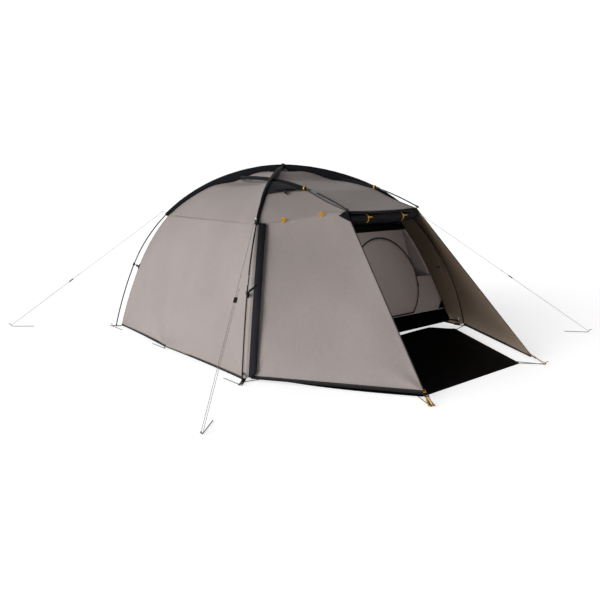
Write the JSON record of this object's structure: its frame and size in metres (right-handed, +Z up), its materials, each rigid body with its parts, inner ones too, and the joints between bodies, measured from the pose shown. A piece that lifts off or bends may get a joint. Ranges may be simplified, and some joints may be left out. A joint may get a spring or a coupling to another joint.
{
  "type": "dome tent",
  "caption": "Free-standing trekking dome tent with crossed poles, brow-pole vestibule, hung inner tent, guylines and pegs.",
  "frame": {"origin": "centre of the tent's footprint on the ground, guylines left out", "axes": "+Z up, -Y towards the vestibule door, +X to the right as one faces the rear wall from the door"},
  "size_m": [3.4722, 3.4766, 1.2971],
  "materials": {
    "pole": "satin black tube",
    "ferrule": "brushed",
    "elastic": "braided elastic",
    "black_plastic": "moulded, slightly worn",
    "sleeve": "black polyester sleeve cloth",
    "black_webbing": "ribbed webbing",
    "brass": "rolled",
    "steel_ring": "plated wire",
    "fly": "coated polyester, taupe",
    "black_fabric": "plain black polyester",
    "zip_tape": "coil zip",
    "zip_metal": "painted zinc",
    "gold_webbing": "ochre webbing",
    "gold_plastic": "ochre moulded",
    "groundsheet": "coated groundsheet, black",
    "inner_cloth": "breathable polyester",
    "peg_steel": "dark steel wire",
    "guy_cord": "reflective braided cord"
  },
  "bodies": {
    "shelter": {"brow_pole_tubes": "pole", "corner_buckles": "black_plastic", "corner_webbing": "gold_webbing", "fly_front_roof": "fly", "fly_rear": "fly", "fly_side_far": "fly", "fly_side_near": "fly", "fly_upper_far": "fly", "fly_upper_near": "fly", "foot_grommets": "brass", "foot_webbing": "black_webbing", "footprint": "groundsheet", "ground_pegs": "peg_steel", "guy_pegs": "peg_steel", "guy_rings": "steel_ring", "guyline_front_far": "guy_cord", "guyline_front_near": "guy_cord", "guyline_rear_far": "guy_cord", "guyline_rear_near": "guy_cord", "hem_tapes": "black_webbing", "inner_door": "inner_cloth", "inner_floor": "groundsheet", "inner_front_wall": "inner_cloth", "inner_rear": "inner_cloth", "inner_roof_front": "inner_cloth", "inner_side_far": "inner_cloth", "inner_side_near": "inner_cloth", "inner_zip": "zip_tape", "leg_clips": "black_plastic", "leg_straps": "black_webbing", "pole_a_tubes": "pole", "pole_b_tubes": "pole", "pole_end_fittings": "black_plastic", "pole_ferrules": "ferrule", "pole_shock_cords": "elastic", "rolled_door": "black_fabric", "side_zips": "zip_tape", "sleeve_a": "sleeve", "sleeve_b": "sleeve", "sleeve_brow": "sleeve", "toggle_straps": "gold_webbing", "vent_hoods": "black_fabric", "vestibule_upper_far": "fly", "vestibule_upper_near": "fly", "vestibule_wall_far": "fly", "vestibule_wall_near": "fly", "zip_flaps": "black_fabric"},
    "near_zip_slider": {"zip_slider_near": "zip_metal"},
    "far_zip_slider": {"zip_slider_far": "zip_metal"},
    "inner_slider": {"inner_zip_slider": "zip_metal"},
    "near_vent_prop": {"vent_prop_near": "black_plastic"},
    "far_vent_prop": {"vent_prop_far": "black_plastic"},
    "near_door_toggle": {"door_toggle_near": "gold_plastic"},
    "far_door_toggle": {"door_toggle_far": "gold_plastic"},
    "near_seam_toggles": {"side_toggles_near": "gold_plastic"},
    "far_seam_toggles": {"side_toggles_far": "gold_plastic"},
    "runner_a": {"runner_front_near": "black_plastic"},
    "runner_b": {"runner_front_far": "black_plastic"},
    "runner_c": {"runner_rear_near": "black_plastic"},
    "runner_d": {"runner_rear_far": "black_plastic"}
  },
  "joints": [
    {"name": "near_side_zip", "type": "hinge", "parent": "shelter", "child": "near_zip_slider", "pos_m": [-0.01949, 0.77095, -0.26465], "axis": [-0.7572, 0.6512, 0.0506], "range_deg": [-1.4, 29.3]},
    {"name": "far_side_zip", "type": "hinge", "parent": "shelter", "child": "far_zip_slider", "pos_m": [0.01949, 0.77095, -0.26465], "axis": [-0.7572, -0.6512, -0.0506], "range_deg": [-1.4, 29.3]},
    {"name": "inner_door_zip", "type": "hinge", "parent": "shelter", "child": "inner_slider", "pos_m": [0.405, -0.24294, 0.42412], "axis": [0, -0.9449, 0.3275], "range_deg": [-40, 150]},
    {"name": "near_vent_prop_fold", "type": "hinge", "parent": "shelter", "child": "near_vent_prop", "pos_m": [-0.47021, -0.09309, 1.10096], "axis": [0.7684, -0.6339, 0.0884], "range_deg": [-22, 0]},
    {"name": "far_vent_prop_fold", "type": "hinge", "parent": "shelter", "child": "far_vent_prop", "pos_m": [0.47021, -0.09309, 1.10096], "axis": [0.7684, 0.6339, -0.0884], "range_deg": [-22, 0]},
    {"name": "near_door_toggle_turn", "type": "hinge", "parent": "shelter", "child": "near_door_toggle", "pos_m": [-0.175, -0.5857, 0.95513], "axis": [0, 1, 0], "range_deg": [-90, 90]},
    {"name": "far_door_toggle_turn", "type": "hinge", "parent": "shelter", "child": "far_door_toggle", "pos_m": [0.175, -0.5857, 0.95513], "axis": [0, 1, 0], "range_deg": [-90, 90]},
    {"name": "near_seam_toggle_swing", "type": "hinge", "parent": "shelter", "child": "near_seam_toggles", "pos_m": [-0.76943, -0.14813, 0.91155], "axis": [0.7239, -0.6744, 0.1453], "range_deg": [-40, 40]},
    {"name": "far_seam_toggle_swing", "type": "hinge", "parent": "shelter", "child": "far_seam_toggles", "pos_m": [0.76943, -0.14813, 0.91155], "axis": [0.7239, 0.6744, -0.1453], "range_deg": [-40, 40]},
    {"name": "runner_front_near_slide", "type": "slide", "parent": "shelter", "child": "runner_a", "axis": [-0.6066, -0.5167, -0.6042], "range_m": [-0.05, 0.3]},
    {"name": "runner_front_far_slide", "type": "slide", "parent": "shelter", "child": "runner_b", "axis": [0.5388, -0.6292, -0.5602], "range_m": [-0.05, 0.3]},
    {"name": "runner_rear_near_slide", "type": "slide", "parent": "shelter", "child": "runner_c", "axis": [-0.6153, 0.5266, -0.5866], "range_m": [-0.05, 0.3]},
    {"name": "runner_rear_far_slide", "type": "slide", "parent": "shelter", "child": "runner_d", "axis": [0.6172, 0.5283, -0.5831], "range_m": [-0.05, 0.3]}
  ]
}
